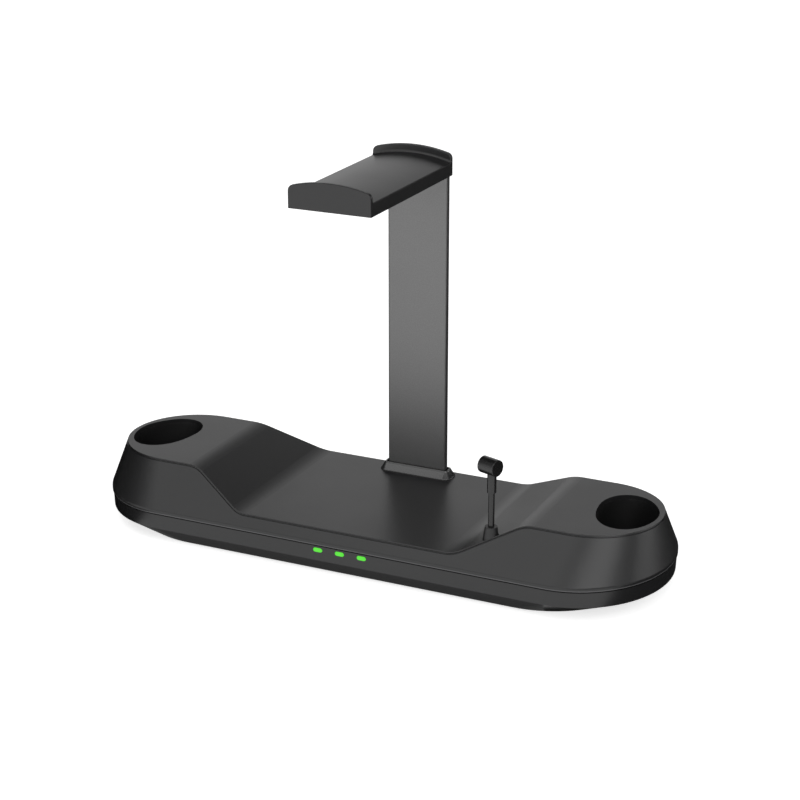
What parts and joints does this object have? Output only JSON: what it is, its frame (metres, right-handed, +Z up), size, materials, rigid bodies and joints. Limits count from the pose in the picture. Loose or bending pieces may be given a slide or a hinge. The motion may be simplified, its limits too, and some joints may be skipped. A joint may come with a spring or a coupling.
{
  "type": "vr headset charging stand",
  "caption": "Long low charging base with a controller cup at each end, a flat upright with a cantilevered headset tray, status lights and a magnetic connector on a stiff lead.",
  "frame": {"origin": "middle of the base, on the surface that the rubber feet stand on", "axes": "+X along the base towards the connector's end, -Y towards the user and the lights, +Z up"},
  "size_m": [0.35, 0.127, 0.2295],
  "materials": {
    "housing": "fine satin texture",
    "housing_dark": "fine satin texture",
    "upright": "satin anodised, fine grain",
    "light": "clear green, lit from behind",
    "board": "coated circuit board",
    "lamp": "clear resin",
    "steel": "plain zinc plated",
    "screw": "blackened",
    "socket": "bright plated",
    "contact": "gold plated",
    "block": "plain",
    "rubber": "matt",
    "connector": "smooth, slightly glossy",
    "magnet": "nickel plated"
  },
  "bodies": {
    "root": {"lower_shell": "housing_dark", "upper_shell": "housing", "top_cover": "housing", "left_controller_cup": "housing", "right_controller_cup": "housing", "left_light": "light", "centre_light": "light", "right_light": "light", "main_board": "board", "status_lamps": "lamp", "power_board": "board", "power_socket": "socket", "left_contact_block": "block", "right_contact_block": "block", "left_contact_strips": "contact", "right_contact_strips": "contact", "left_contact_board": "board", "right_contact_board": "board", "ballast_plate": "steel", "upright_bracket": "steel", "upright": "upright", "upright_collar": "housing", "headset_tray": "housing", "tray_lower_plate": "housing_dark", "connector_boot": "rubber", "connector_lead": "connector", "connector_sleeve": "connector", "connector_head": "connector", "connector_magnet": "magnet", "connector_insert": "contact", "front_left_foot": "rubber", "front_right_foot": "rubber", "rear_left_foot": "rubber", "rear_right_foot": "rubber", "case_screws": "screw", "bracket_bolts": "screw", "upright_bolts": "screw", "tray_screws": "screw", "board_screws": "screw", "contact_screws": "screw"}
  },
  "joints": []
}
